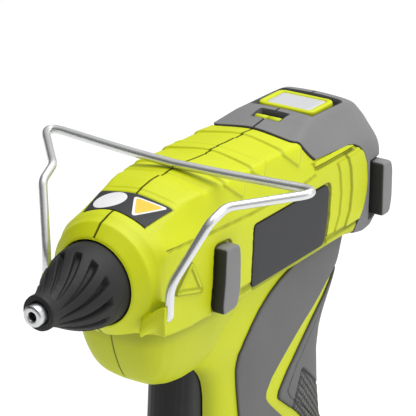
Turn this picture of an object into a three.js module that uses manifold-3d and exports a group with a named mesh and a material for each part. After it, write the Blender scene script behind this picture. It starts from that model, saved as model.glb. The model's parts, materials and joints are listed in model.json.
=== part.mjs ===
// Cordless glue gun: a clamshell body split on the X = 0 plane, with a heated nozzle, a trigger-driven
// feed, a folding wire stand and a slide-on battery pack. Millimetres, +Z up, nozzle towards -Y,
// +X is the gun's left side. Everything is placed from the nozzle tip (y = 0) and the glue stick's
// axis (z = 0), and the whole group is then moved so that its origin is under the middle of its box.
import * as THREE from "three";
import { mergeVertices } from "three/addons/utils/BufferGeometryUtils.js";
import Module from "manifold-3d";

const wasm = await Module();
wasm.setup();

// ---------- driving dimensions ----------
const LENGTH = 184; // nozzle tip to the rear bumpers
const AXIS_HEIGHT = 152; // glue stick axis above the surface that the pack stands on
const WALL = 2.4; // moulded wall
const GAP = 0.3; // between pieces that touch
const SEAM = 0.12; // each half stops this far from the middle plane
const BODY_FRONT = 33; // front face of the housing
const BODY_REAR = 183; // back of the rear cover
const BELT = -20.2; // bottom edge of the barrel's side
const SIDE = 21.6; // half-width of the barrel
const BORE = 6.2; // glue stick bore radius
const CONE_MOUTH = 14.9; // hole for the nozzle cone
const PIVOT = { y: 96, z: -24 }; // trigger pivot
const CARRIAGE_Y = 100; // feed carriage pin at rest
const BLADE = 8.7; // half-width of the trigger
const PIN_HALF = 16.2; // half-length of the trigger pin
const STAND = { y: 40, z: -9.5, wire: 1.45 }; // stand pivot and wire radius
const FOOT_TOP = -104;
const FOOT_BOTTOM = -117;
const PACK_BOTTOM = -AXIS_HEIGHT;
// Screws, all driven from the right: y, z and the x of the head's seat.
const SCREWS = [
  [56, 16.7, -11],
  [51, -24, -12],
  [118, 17, -13],
  [158, -13, -14],
  [122, -34, -11],
  [131, -62, -10],
  [149, -94, -8.5],
];

// ---------- materials ----------
const material = (color, roughness, metalness = 0) =>
  new THREE.MeshStandardMaterial({ color, roughness, metalness });
const LIME = material(0xc3d312, 0.5);
const GREY = material(0x878787, 0.8);
const DARK = material(0x47474a, 0.6);
const BLACK = material(0x1c1c1d, 0.55);
const STEEL = material(0xc4c6c9, 0.25, 1);
const ALUMINIUM = material(0xb5b6b8, 0.4, 1);
const SILICONE = material(0xb5462e, 0.7);
const CERAMIC = material(0xe4dfd2, 0.6);
const BOARD = material(0x1d6a3c, 0.5);
const LENS = material(0xe6e8ea, 0.2);
const COPPER = material(0xb06a3a, 0.35, 1);

// ---------- solids ----------
// A closed three.js geometry as a manifold-3d solid.
function solid(geometry) {
  const g = geometry.index ? geometry.toNonIndexed() : geometry;
  const bare = new THREE.BufferGeometry().setAttribute(
    "position",
    g.getAttribute("position"),
  );
  const merged = mergeVertices(bare, 1e-4);
  return new wasm.Manifold(
    new wasm.Mesh({
      numProp: 3,
      vertProperties: merged.attributes.position.array,
      triVerts: new Uint32Array(merged.index.array),
    }),
  );
}

const root = new THREE.Group();
root.position.set(0, -LENGTH / 2, AXIS_HEIGHT);

// Adds a solid to the gun as a named mesh.
function add(name, made, mat) {
  const m = made.getMesh();
  const g = new THREE.BufferGeometry();
  g.setAttribute("position", new THREE.BufferAttribute(m.vertProperties, 3));
  g.setIndex(new THREE.BufferAttribute(m.triVerts, 1));
  g.computeVertexNormals();
  const mesh = new THREE.Mesh(g, mat);
  mesh.name = name;
  root.add(mesh);
}

const join = (...s) => s.reduce((a, b) => a.add(b));
const mirror = (s) => s.mirror([1, 0, 0]);

function box(x0, x1, y0, y1, z0, z1) {
  const g = new THREE.BoxGeometry(x1 - x0, y1 - y0, z1 - z0);
  return solid(g.translate((x0 + x1) / 2, (y0 + y1) / 2, (z0 + z1) / 2));
}

// A cylinder along X, from x0 to x1, round the point (y, z).
function rod(x0, x1, y, z, r, sides = 20) {
  const g = new THREE.CylinderGeometry(r, r, x1 - x0, sides).rotateZ(-Math.PI / 2);
  return solid(g.translate((x0 + x1) / 2, y, z));
}

// A profile of [radius, y] points turned round the glue stick's axis.
function turned(profile, sides = 32) {
  const points = profile.map(([r, y]) => new THREE.Vector2(r, y));
  if (profile[0][0] > 0 || profile.at(-1)[0] > 0) points.push(points[0].clone());
  const made = solid(new THREE.LatheGeometry(points, sides));
  return made.volume() < 0
    ? solid(new THREE.LatheGeometry(points.reverse(), sides))
    : made;
}

// A tube along Y from y0 to y1, round the glue stick's axis.
const pipe = (y0, y1, outer, inner, sides = 32) =>
  turned([[inner, y0], [outer, y0], [outer, y1], [inner, y1]], sides);

// A side-view outline of [y, z] points, given a thickness from x0 to x1.
function plate(points, x0, x1) {
  const shape = new THREE.Shape(points.map(([y, z]) => new THREE.Vector2(y, z)));
  const g = new THREE.ExtrudeGeometry(shape, { depth: x1 - x0, bevelEnabled: false });
  const turn = new THREE.Matrix4().set(0, 0, 1, x0, 1, 0, 0, 0, 0, 1, 0, 0, 0, 0, 0, 1);
  return solid(g.applyMatrix4(turn));
}

// A smooth side-view outline through control points.
const curve = (points, steps) =>
  new THREE.SplineCurve(points.map(([y, z]) => new THREE.Vector2(y, z)))
    .getPoints(steps)
    .map((p) => [p.x, p.y]);

// A skin over rings of points, one ring per station, closed at both ends.
function loft(rings) {
  const n = rings[0].length;
  const positions = rings.flat(2);
  const faces = [];
  for (let i = 0; i + 1 < rings.length; i++)
    for (let j = 0; j < n; j++) {
      const a = i * n + j;
      const b = i * n + ((j + 1) % n);
      faces.push(a, b, a + n, b, b + n, a + n);
    }
  for (const [first, turn] of [[0, 1], [(rings.length - 1) * n, 0]]) {
    const centre = positions.length / 3;
    const ring = rings[turn ? 0 : rings.length - 1];
    for (let k = 0; k < 3; k++)
      positions.push(ring.reduce((sum, p) => sum + p[k], 0) / n);
    for (let j = 0; j < n; j++) {
      const [a, b] = [first + j, first + ((j + 1) % n)];
      faces.push(...(turn ? [b, a, centre] : [a, b, centre]));
    }
  }
  const g = new THREE.BufferGeometry();
  g.setAttribute("position", new THREE.Float32BufferAttribute(positions, 3));
  g.setIndex(faces);
  const made = solid(g);
  if (made.volume() > 0) return made;
  for (let i = 0; i < faces.length; i += 3)
    [faces[i + 1], faces[i + 2]] = [faces[i + 2], faces[i + 1]];
  return solid(g.setIndex(faces));
}

// Reads a table of [station, value, value, ...] rows at a station, smoothly between the rows.
function at(table, s) {
  let i = 0;
  while (i < table.length - 2 && s > table[i + 1][0]) i++;
  const [a, b] = [table[i], table[i + 1]];
  const t = Math.min(1, Math.max(0, (s - a[0]) / (b[0] - a[0])));
  const w = t * t * (3 - 2 * t);
  return a.slice(1).map((v, k) => v + (b[k + 1] - v) * w);
}

// ---------- outer form of the barrel ----------
// A section is a polygon with soft corners: each side has a direction in degrees and a distance from
// the axis. The distances along the barrel are: crown (81 and 99), shoulder (45), flank (14), side (0),
// bottom (270).
const BARREL = [
  [33, 16.3, 16.3, 16.3, 16.3, 16.3],
  [37, 19.3, 20.2, 19.6, 18.6, 17.6],
  [42, 21.8, 23.8, 21.8, 20.3, 18.6],
  [58, 23.9, 26.4, 22.9, 21.2, BELT * -1],
  [67, 25.4, 28.4, 23.3, SIDE, BELT * -1],
  [127, 25.2, 29.2, 23.4, SIDE, BELT * -1],
  [140, 27.6, 27.8, 23.4, SIDE, BELT * -1],
  [168, 27.4, 26.8, 22.9, 21.2, 20],
  [177, 22.4, 24.6, 22.4, 20.8, 20],
  [BODY_REAR, 15.5, 19.5, 20, 19.4, 17],
];
const SOFTNESS = 14;
function barrelRing(y, inset, count = 32) {
  const [crown, shoulder, flank, side, bottom] = at(BARREL, y);
  const sides = [
    [81, crown], [99, crown], [45, shoulder], [135, shoulder],
    [14, flank], [166, flank], [0, side], [180, side], [270, bottom],
  ];
  const soft = y < 42 ? 3 + (11 * (y - BODY_FRONT)) / 9 : SOFTNESS;
  return Array.from({ length: count }, (_, j) => {
    const a = (j / count) * 2 * Math.PI + Math.PI / 2;
    const sum = sides.reduce((s, [deg, d]) => {
      const c = Math.cos(a - (deg * Math.PI) / 180);
      return c > 0 ? s + (c / (d - inset)) ** soft : s;
    }, 0);
    const r = sum ** (-1 / soft);
    return [r * Math.cos(a), y, r * Math.sin(a)];
  });
}
function barrel(from, to, inset) {
  const stations = [from, to, ...BARREL.map((r) => r[0]), 35, 39, 50, 133, 154, 173, 180.5];
  const used = [...new Set(stations)].filter((y) => y >= from && y <= to);
  return loft(used.sort((a, b) => a - b).map((y) => barrelRing(y, inset)));
}

// ---------- outer form of the belly, handle and foot ----------
// Level rings: each row is height, front y, back y, half-width, and squareness of the ring.
const BELLY = [
  [-47.5, 60, 86, 11, 2.6],
  [-45.5, 54, 91, 15, 2.7],
  [-39, 48.5, 112, 17.4, 2.8],
  [-25, 43.6, 130, 19, 2.8],
  [-10, 43, 134, 19, 2.8],
];
const HANDLE = [
  [FOOT_TOP - 2, 86.5, 166.5, 16.4, 2.9],
  [-98, 84.5, 163.5, 15.2, 2.8],
  [-84, 82.5, 162, 14.6, 2.7],
  [-68, 82.4, 161.5, 14.8, 2.7],
  [-46, 84.6, 169, 16.2, 2.7],
  [-30, 87, 176, 17.6, 2.8],
  [-10, 92, 178, 17.8, 2.8],
];
const FOOT = [
  [FOOT_BOTTOM, 90, 178, 29, 4.5],
  [FOOT_BOTTOM + 6, 89.5, 178.5, 29.4, 4.5],
  [FOOT_TOP - 4, 89.6, 176, 27, 4],
  [FOOT_TOP, 90, 167, 17.5, 3],
];
function levelRing([z, front, back, half, square], inset, count = 28) {
  const [middle, depth] = [(front + back) / 2, (back - front) / 2 - inset];
  return Array.from({ length: count }, (_, j) => {
    const a = (j / count) * 2 * Math.PI;
    const [c, s] = [Math.cos(a), Math.sin(a)];
    const r = (Math.abs(c) ** square + Math.abs(s) ** square) ** (-1 / square);
    return [r * c * (half - inset), middle + r * s * depth, z];
  });
}
function column(table, inset, from = table[0][0], to = table.at(-1)[0]) {
  const levels = [from, to, ...table.map((r) => r[0])]
    .filter((z) => z >= from && z <= to)
    .sort((a, b) => a - b);
  return loft([...new Set(levels)].map((z) => levelRing([z, ...at(table, z)], inset)));
}

// Side-view outline of the lime part of the barrel. What lies behind it is the rear cover.
const LIME_OUTLINE = [
  [20, -30], [20, 40], [127.3, 40], [127.3, 26], [137.3, 14.5], [160, 14],
  ...curve([[160, 14], [167, 10], [170.3, 0], [168.5, -12], [158, -24]], 10).slice(1),
  [150, -30],
];
// The same outline moved out by the gap between the two mouldings.
const COVER_OUTLINE = [
  [20, -31], [20, 41], [127.6, 41], [127.6, 26.2], [137.5, 14.8], [160, 14.3],
  ...curve([[160, 14.3], [167.2, 10.2], [170.6, 0], [168.8, -12.2], [158.3, -24.4]], 10).slice(1),
  [150, -31],
];
// Side-view outlines of the soft grip, and of the lime stripe that runs through it.
const GRIP_OUTLINE = [
  ...curve([[150, -21], [118, -22.5], [104, -31], [92.5, -46], [94, -60], [96, -84], [98, -103]], 16),
  [164, -103],
  ...curve([[168, -96], [166, -70], [173, -46], [178, -30], [179, -21]], 8),
];
const STRIPE_OUTLINE = [
  [182, -30], [156, -40], [117, -71], [129, -84], [148, -103.5],
  [156, -103.5], [135, -83], [124, -73], [158, -45], [182, -36],
];

// ---------- cavity and openings shared by both halves ----------
const BIG = 60;
const leftSide = box(SEAM, BIG, -20, 220, -180, 60);
const bosses = join(...SCREWS.map(([y, z]) => rod(-BIG, BIG, y, z, 3.7, 12)));
const shellOuter = join(
  barrel(BODY_FRONT, 176, 0),
  column(BELLY, 0),
  column(HANDLE, 0),
  column(FOOT, 0),
);
const coverOuter = barrel(120, BODY_REAR, -0.5);
const cavity = join(
  barrel(BODY_FRONT + WALL, 173, WALL),
  column(BELLY, WALL, BELLY[0][0] + WALL, -8),
  column(HANDLE, WALL, -106, -8),
  column(FOOT, WALL, FOOT_BOTTOM + WALL, FOOT_TOP - 0.5),
);
const triggerSlot = box(-BLADE - 0.5, BLADE + 0.5, 58, 107, -99.5, -40);
const packSlot = box(-11.2, 11.2, 107, 135.5, -130, -100);
const mouth = join(
  pipe(20, BODY_FRONT + WALL + 1.1, CONE_MOUTH, 0.01, 36),
  pipe(BODY_FRONT + WALL + 1, 39, 16.1, 0.01, 36),
);
const openings = join(
  mouth,
  triggerSlot,
  packSlot,
  rod(-BIG, BIG, STAND.y, STAND.z, STAND.wire + 0.35, 16),
  rod(-PIN_HALF - 0.4, PIN_HALF + 0.4, PIVOT.y, PIVOT.z, 2.25, 16),
);

// ---------- housing halves ----------
const limeRegion = join(plate(LIME_OUTLINE, -BIG, BIG), box(-BIG, BIG, 40, 200, -180, -20.1));
const stripe = plate(STRIPE_OUTLINE, -BIG, BIG);
const gripRegion = plate(GRIP_OUTLINE, -BIG, BIG).subtract(stripe);
const gripBed = column(HANDLE, -3).subtract(column(HANDLE, 1));
const clipEars = plate(
  curve([[34, -15], [33.2, -9], [36.6, -3.6], [38.4, -3.4], [40, -6], [41.6, -3.4], [43.6, -4],
    [46.5, -9], [44, -15.5], [39, -17]], 24),
  12,
  22.6,
);
const pinBoss = rod(14.9, 20, PIVOT.y, PIVOT.z, 4.6, 16);
const padBed = plate(
  curve([[73, 4.5], [81, 4], [82.6, 0], [82.4, -14], [80, -20], [71.6, -20.4], [70.4, -16],
    [72.4, -8], [72.4, 2], [73, 4.5]], 20),
  SIDE - 1.3,
  BIG,
);
const badgeOutline = [
  [96.4, 2.6], [97.2, 3.6], [143.6, 3.6], [145, 2], [144.6, -12], [141.6, -19], [94.6, -19.2],
  [96, -8],
];
const badgeBed = plate(badgeOutline, SIDE - 0.8, BIG);
const labelBed = box(-15.2, 15.2, 44, 57.4, 10, 40).subtract(barrel(36, 66, 0.9));

// Half of the housing, without what differs from side to side.
const shellHalf = join(
  shellOuter.subtract(cavity),
  bosses.intersect(shellOuter),
  clipEars.add(mirror(clipEars)).subtract(barrel(BODY_FRONT, 60, WALL)),
  pinBoss.add(mirror(pinBoss)),
)
  .intersect(limeRegion)
  .subtract(openings)
  .subtract(gripBed.intersect(gripRegion))
  .subtract(labelBed);
const leftBeds = padBed.add(badgeBed);
const pilotHoles = join(...SCREWS.map(([y, z]) => rod(-BIG, 12, y, z, 1.55, 10)));
const screwWells = join(...SCREWS.map(([y, z, seat]) => rod(-BIG, seat, y, z, 2.7, 12)));
add(
  "left_housing",
  shellHalf.intersect(leftSide).subtract(leftBeds).subtract(pilotHoles),
  LIME,
);
add(
  "right_housing",
  shellHalf
    .intersect(mirror(leftSide))
    .subtract(mirror(leftBeds))
    .subtract(pilotHoles)
    .subtract(screwWells),
  LIME,
);

// ---------- rear cover, in two halves ----------
const windowWell = box(-12.9, 12.9, 146.4, 166.8, 22, 40);
const hangSlot = box(-6.4, 6.4, 136.2, 142.4, 21, 40);
const rearMouth = pipe(170, 200, 12, 0.01, 36);
const coverShell = coverOuter
  .subtract(barrel(118, 175, WALL + 0.2))
  .subtract(plate(COVER_OUTLINE, -BIG, BIG))
  .subtract(column(HANDLE, -GAP, -40, -10).add(box(-BIG, BIG, 100, 200, -60, -24.5)))
  .subtract(windowWell)
  .subtract(hangSlot)
  .subtract(rearMouth);
const rearBed = box(14.6, BIG, 175.5, 200, -18.9, 2.9).subtract(barrel(120, BODY_REAR, 0.6));
const coverLeft = coverShell.intersect(leftSide).subtract(rearBed);
add("left_rear_cover", coverLeft, GREY);
add("right_rear_cover", mirror(coverLeft), GREY);

const hangBar = rod(SEAM, 6.1, 137.8, 24.4, 1.5, 12);
add("left_hang_bar", hangBar, LIME);
add("right_hang_bar", mirror(hangBar), LIME);

// ---------- soft grips, pads, bumpers, badges and label ----------
const gripSkin = column(HANDLE, -0.7, -103, -20.6)
  .subtract(column(HANDLE, 0.7))
  .subtract(barrel(70, 180, -GAP))
  .intersect(gripRegion)
  .intersect(leftSide)
  .subtract(stripe);
const gripPieces = gripSkin.decompose().sort((a, b) => b.volume() - a.volume());
add("left_front_grip", gripPieces[0], GREY);
add("right_front_grip", mirror(gripPieces[0]).subtract(screwWells), GREY);
add("left_palm_grip", gripPieces[1], GREY);
add("right_palm_grip", mirror(gripPieces[1]).subtract(screwWells), GREY);

const pad = plate(
  curve([[73, 3.9], [80.2, 3.5], [81.4, 0], [81.2, -14], [79.2, -19.4], [72, -19.8], [71, -16],
    [72.6, -8], [72.6, 2], [73, 3.9]], 20),
  SIDE - 1,
  SIDE + 3.6,
);
add("left_side_pad", pad, DARK);
add("right_side_pad", mirror(pad), DARK);

const bumper = box(15, 26.4, 175.8, LENGTH, -18.6, 2.6).subtract(barrel(120, BODY_REAR, 0.3));
add("left_rear_bumper", bumper, GREY);
add("right_rear_bumper", mirror(bumper), GREY);

const centreOutline = (points, by) => {
  const [cy, cz] = [0, 1].map((k) => points.reduce((s, p) => s + p[k], 0) / points.length);
  return points.map(([y, z]) => [y + Math.sign(cy - y) * by, z + Math.sign(cz - z) * by]);
};
const badge = plate(centreOutline(badgeOutline, GAP), SIDE - 0.5, SIDE + 0.25);
add("left_badge", badge, DARK);
add("right_badge", mirror(badge), DARK);

const label = barrel(44.3, 57.1, 0.1)
  .subtract(barrel(40, 62, 0.65))
  .intersect(box(-14.9, 14.9, 40, 60, 10, 40));
add("top_label", label, DARK);

// ---------- power button ----------
const buttonCap = join(
  box(-12.5, 12.5, 146.8, 166.4, 24, 27.7).subtract(box(-9.7, 9.7, 149.4, 163.8, 26.5, 31)),
  box(-2, 2, 154.6, 158.6, 18.6, 24.1),
);
add("power_button", buttonCap, LIME);
add("button_lens", box(-9.4, 9.4, 149.7, 163.5, 26.8, 27.6), LENS);

// ---------- heated end ----------
add(
  "nozzle",
  turned([
    [1.6, 0], [3.1, 0], [3.7, 0.6], [3.7, 11], [5.2, 11.3], [5.2, 15], [4.4, 15.2], [4.4, 21],
    [2.6, 21], [2.6, 6], [1.6, 5],
  ]),
  ALUMINIUM,
);
const CONE_PROFILE = [
  [4, 3.3], [5.9, 3.3], [6.1, 4], [5.9, 6.5], [6.6, 10], [8.8, 15], [11.6, 21], [13.6, 26],
  [14.4, 30], [14.4, 36.7], [15.8, 36.8], [15.8, 38.5], [12.2, 38.5], [12.2, 24], [9.4, 16],
  [5.6, 15.6], [5.6, 10.8], [4, 10.6],
];
add("nozzle_cone", turned(CONE_PROFILE, 36), BLACK);
add(
  "melt_chamber",
  turned([[4.7, 16.6], [8.5, 16.6], [8.5, 24], [9, 24.2], [9, 62], [5.9, 62], [5.9, 27], [4.7, 21.5]]),
  ALUMINIUM,
);
const ballCentre = 17.6;
add("valve_ball", turned([[0, ballCentre - 2], [1.42, ballCentre - 1.42], [2, ballCentre],
  [1.42, ballCentre + 1.42], [0, ballCentre + 2]], 16), STEEL);

// A wire or spring: a round section carried along a curve.
function wire(points, radius, steps, sides = 8, smooth = true) {
  const vectors = points.map((p) => new THREE.Vector3(...p));
  const path = smooth
    ? new THREE.CatmullRomCurve3(vectors, false, "centripetal")
    : vectors.reduce((c, v, i) => {
        if (i) c.add(new THREE.LineCurve3(vectors[i - 1], v));
        return c;
      }, new THREE.CurvePath());
  const section = new THREE.Shape().absarc(0, 0, radius, 0, 2 * Math.PI);
  const g = new THREE.ExtrudeGeometry(section, {
    steps,
    extrudePath: path,
    curveSegments: sides / 2,
  });
  const made = solid(g);
  return made.volume() > 0 ? made : made.mirror([0, 0, 1]).mirror([0, 0, 1]);
}
// Points of a coil along Y between y0 and y1, round the point (x, z).
function coil(x, z, y0, y1, radius, turns, perTurn = 8) {
  return Array.from({ length: turns * perTurn + 1 }, (_, i) => {
    const a = (i / perTurn) * 2 * Math.PI;
    return [x + radius * Math.cos(a), y0 + ((y1 - y0) * i) / (turns * perTurn), z + radius * Math.sin(a)];
  });
}
add("valve_spring", wire(coil(0, 0, 8, 14.6, 1.9, 4), 0.28, 32, 6), STEEL);
add("ptc_heater", box(-4.6, 4.6, 39.2, 61, 9.3, 11.5), CERAMIC);
const clipOuter = [[-10.4, -5], [-10.4, 8.6], [-6, 12.6], [6, 12.6], [10.4, 8.6], [10.4, -5],
  [9.6, -5], [9.6, 8.2], [5.6, 11.8], [-5.6, 11.8], [-9.6, 8.2], [-9.6, -5]];
const clipShape = new THREE.Shape(clipOuter.map(([x, z]) => new THREE.Vector2(x, z)));
const clipBody = new THREE.ExtrudeGeometry(clipShape, { depth: 14, bevelEnabled: false });
add("heater_clip", solid(clipBody.rotateX(Math.PI / 2).translate(0, 59.5, 0)), STEEL);
add("front_support_ring", pipe(40, 44, 15.4, 9.4).subtract(box(-5, 5, 30, 50, 8, 20)), CERAMIC);
add("inlet_sleeve", turned([[BORE, 62.4], [9, 62.4], [9, 66], [8.2, 66.5], [8.2, 80], [BORE, 80]]), SILICONE);
add("sleeve_clamp", pipe(68, 72, 9.6, 8.5), STEEL);
const rearRing = pipe(74, 77.5, 17, 8.5)
  .subtract(box(-BIG, BIG, 70, 80, -BIG, -12))
  .subtract(box(-11, 11, 70, 80, 10, 20));
add("chamber_bracket", rearRing, CERAMIC);

// ---------- feed ----------
const carriage = join(
  pipe(CARRIAGE_Y - 8, CARRIAGE_Y + 8, 9.6, BORE + 0.3),
  rod(9, 15, CARRIAGE_Y, 0, 1.8, 16),
  rod(-15, -9, CARRIAGE_Y, 0, 1.8, 16),
).subtract(box(-2.8, 2.8, 93.5, 106.5, 5, 12));
add("feed_carriage", carriage, BLACK);
const jaw = plate([[94, 7], [97, 6.5], [98.5, 7.2], [100, 6.5], [101.5, 7.2], [103, 6.5],
  [106, 8], [106, 10.6], [94, 10.6]], -2.5, 2.5);
add("grip_jaw", jaw, STEEL);

// ---------- trigger ----------
const BLADE_RINGS = [
  [-93.4, 73.5, 84.1, 5, 2.4],
  [-91.6, 69.3, 87, 8.2, 2.4],
  [-88, 67.7, 88, BLADE, 2.4],
  [-74, 67.5, 88, BLADE, 2.4],
  [-66, 68.3, 88, BLADE, 2.4],
  [-50, 69.4, 89.4, BLADE, 2.4],
  [-40, 71, 93, BLADE, 2.4],
  [-32, 77, 99, BLADE, 2.4],
];
const neckOutline = [[75, -38], [79, -32], [84, -26], [92, -20], [100, -27], [95, -38]];
const armOutline = [[92, -27], [93.2, 6], [95.6, 8], [104.4, 8], [106.8, 6], [101, -27]];
const pinSlot = rod(-20, 20, 100, 0, 2.25, 16).add(
  box(-20, 20, 97.75, 102.25, -3.4, 4.2),
);
const arm = plate(armOutline, 10.6, 13.4).subtract(pinSlot);
const springPocket = box(-5, 5, 89, 103, -31, -16);
const triggerSolid = join(
  column(BLADE_RINGS, 0.2),
  plate(neckOutline, -BLADE, BLADE),
  rod(-13.4, 13.4, PIVOT.y, PIVOT.z, 5.4),
  arm,
  mirror(arm),
)
  .subtract(rod(-20, 20, PIVOT.y, PIVOT.z, 2.3))
  .subtract(springPocket);
add("trigger", triggerSolid, BLACK);
add("trigger_pin", rod(-PIN_HALF, PIN_HALF, PIVOT.y, PIVOT.z, 2), STEEL);
// The return spring is a torsion coil round the pin, inside the trigger's hub.
const turns = coil(PIVOT.y, PIVOT.z, -4.2, 4.2, 3.2, 7).map(([y, x, z]) => [x, y, z]);
add("trigger_spring", wire(turns, 0.5, 56, 6), STEEL);

// ---------- glue stick guide ----------
add("guide_tube", pipe(113, 176, 8, BORE), BLACK);
add("inlet_ring", turned([[BORE + 0.1, 176.4], [11.6, 176.4], [11.6, 183], [10.6, 184],
  [8.6, 184], [BORE + 0.1, 182]], 36), BLACK);

// ---------- electrics ----------
add("circuit_board", box(-13.5, 13.5, 134, 168, 12.4, 14), BOARD);
add("button_switch", box(-3, 3, 153.6, 159.6, 14.3, 16.8), BLACK);
add("terminal_block", box(-10, 10, 109.5, 133, -83, -75), BLACK);
const lead = (x, name, mat) =>
  add(name, wire([[x, 132.5, 12.2], [x, 120, 11.8], [x * 1.1, 90, 12.6], [x * 0.8, 71, 13.4],
    [x * 0.45, 62.6, 11.6]], 0.8, 20), mat);
lead(8.5, "heater_lead_live", material(0xa02020, 0.6));
lead(-8.5, "heater_lead_return", BLACK);
add(
  "battery_lead",
  wire([[6, 122, -73.6], [8, 123, -66], [10, 130, -49], [11, 139, -34], [12, 143, -16],
    [12.4, 142, 0], [11.4, 141.5, 11]], 1, 24),
  material(0xa02020, 0.6),
);

// ---------- housing screws ----------
SCREWS.forEach(([y, z, seat], i) => {
  const head = rod(seat - 2.3, seat - 0.2, y, z, 2.4, 14);
  const shank = rod(seat - 0.3, 10, y, z, 1.25, 8);
  const socket = rod(seat - 3, seat - 1.3, y, z, 1.1, 6);
  add(`housing_screw_${i + 1}`, head.add(shank).subtract(socket), STEEL);
});

// ---------- wire stand ----------
// Half of the bent wire: in along the pivot, up the leg, back over the shoulder, out to the ear and
// across. Each bend is rounded by a radius.
const half = [
  [13.5, STAND.y, STAND.z, 0],
  [25.4, STAND.y, STAND.z, 2.2],
  [25.8, 41.5, -1, 6],
  [34.5, 52, 23.8, 5],
  [35.4, 60.6, 26.4, 5],
  [56, 81, 28.6, 6.5],
  [20, 79, 27.9, 14],
];
const standBends = [
  ...half.map(([x, y, z, r]) => [new THREE.Vector3(-x, y, z), r]),
  [new THREE.Vector3(0, 78.4, 27.6), 0],
  ...half.map(([x, y, z, r]) => [new THREE.Vector3(x, y, z), r]).reverse(),
];
function bentPath(bends, perBend) {
  const points = [bends[0][0]];
  for (let i = 1; i + 1 < bends.length; i++) {
    const [corner, r] = bends[i];
    const before = bends[i - 1][0].clone().sub(corner);
    const after = bends[i + 1][0].clone().sub(corner);
    const cut = Math.min(r, before.length() / 2.2, after.length() / 2.2);
    const [a, b] = [before.setLength(cut).add(corner), after.setLength(cut).add(corner)];
    if (r === 0) points.push(corner);
    else points.push(...new THREE.QuadraticBezierCurve3(a, corner, b).getPoints(perBend));
  }
  return [...points, bends.at(-1)[0]];
}
const standPoints = bentPath(standBends, 5).map((v) => v.toArray());
add("wire_stand", wire(standPoints, STAND.wire, 84, 8), STEEL);

// ---------- battery pack ----------
const PACK = [
  [PACK_BOTTOM, 91, 177, 29.5, 5],
  [PACK_BOTTOM + 2.5, 89, 179, 31.5, 5],
  [FOOT_BOTTOM - 8, 89, 179, 31.5, 5],
  [FOOT_BOTTOM - GAP, 90, 178, 29.6, 5],
];
const PACK_SPLIT = FOOT_BOTTOM - 14;
const packOuter = column(PACK, 0);
const packInner = column(PACK, WALL, PACK_BOTTOM + WALL, FOOT_BOTTOM - GAP - WALL);
const latchPocket = box(26, 40, 123.6, 144.4, -141.4, -128.6);
const packShell = packOuter
  .subtract(packInner)
  .subtract(latchPocket)
  .subtract(mirror(latchPocket));
const below = box(-BIG, BIG, 40, 220, -200, PACK_SPLIT - GAP / 2);
const above = box(-BIG, BIG, 40, 220, PACK_SPLIT + GAP / 2, -60);
const stem = join(
  box(-10.5, 10.5, 108, 134.6, FOOT_BOTTOM - 2, -88),
  box(-7, 7, 111, 131.6, -88.1, -84),
);
const vent = box(-8, 8, 111, 131.6, -130, -90);
add("pack_lower_case", packShell.intersect(below), BLACK);
add("pack_upper_case", join(packShell.intersect(above), stem).subtract(vent), BLACK);
[-15.6, 0, 15.6].forEach((x, i) => {
  const cell = new THREE.CylinderGeometry(9 - 1.6, 9 - 1.6, 65, 20);
  add(`battery_cell_${i + 1}`, solid(cell.translate(x, 134, -141.2)), material(0x2f6fb0, 0.4));
});
const latch = join(
  box(28.6, 32.2, 124, 144, -141, -129),
  box(27.4, 28.7, 122, 146, -142.4, -127.6),
);
add("left_latch", latch, LIME);
add("right_latch", mirror(latch), LIME);

export default root;
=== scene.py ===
"""A cordless glue gun: lime clamshell body, grey soft grips, black fluted nozzle cone, folding wire stand.

Lengths are in millimetres and are measured from the nozzle tip (y = 0) and the glue stick's axis (z = 0),
with the nozzle towards -Y and the gun's left side towards +X. surface() moves them into the frame, in metres.

The barrel's section is a soft polygon. Each side k has a direction a_k and a distance d_k, and the radius in
direction a is the sum over the sides that face a of (cos(a - a_k) / d_k) ** p, all to the power -1 / p.
The handle, foot, trigger and battery pack are stacked level rings, each a superellipse |u|^n + |v|^n = 1.
Pieces come in pairs: the left one is made, and the right one is its mirror image.
"""

import json

import bpy
import numpy as np
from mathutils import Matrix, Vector


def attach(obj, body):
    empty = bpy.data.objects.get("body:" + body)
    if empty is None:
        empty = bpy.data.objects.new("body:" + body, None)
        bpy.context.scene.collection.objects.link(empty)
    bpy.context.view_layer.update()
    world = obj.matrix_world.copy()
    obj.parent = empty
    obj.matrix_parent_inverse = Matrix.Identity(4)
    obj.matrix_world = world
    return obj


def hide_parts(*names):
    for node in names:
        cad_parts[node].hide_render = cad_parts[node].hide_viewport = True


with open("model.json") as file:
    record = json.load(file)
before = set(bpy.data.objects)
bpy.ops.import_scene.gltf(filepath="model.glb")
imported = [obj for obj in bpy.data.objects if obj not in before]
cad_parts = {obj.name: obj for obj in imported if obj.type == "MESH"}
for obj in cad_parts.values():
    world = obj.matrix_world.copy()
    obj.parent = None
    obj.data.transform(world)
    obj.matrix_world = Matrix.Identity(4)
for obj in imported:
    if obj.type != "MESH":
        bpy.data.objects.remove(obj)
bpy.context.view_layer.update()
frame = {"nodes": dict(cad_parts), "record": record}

# ---------------------------------------------------------------------------------------------------------
# Battery pack: a two-part black case on a flat base, 63 mm wide, 90 mm long and 35 mm tall.
# It slides up into the handle on a stem and is held by a lime latch on each side.
# ---------------------------------------------------------------------------------------------------------
SHIFT = np.array([0.0, -92.0, 152.0])  # from the nozzle tip to the frame's origin, under the pack's middle
READINGS = 11  # readings that blended() averages
SIDES = (("left", 1), ("right", -1))


def blended(table, at, width):
    """Rows of [station, value, ...] read at many stations.

    A reading is straight between two rows, and each result averages the readings over a window this wide.
    """
    rows = np.asarray(table, float)
    at = np.asarray(at, float)
    weights = np.hanning(READINGS + 2)[1:-1]
    total = 0
    for weight, shift in zip(weights / weights.sum(), np.linspace(-1, 1, READINGS) * width / 2):
        read = [np.interp(at + shift, rows[:, 0], column) for column in rows[:, 1:].T]
        total = total + weight * np.stack(read, -1)
    return total


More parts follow.
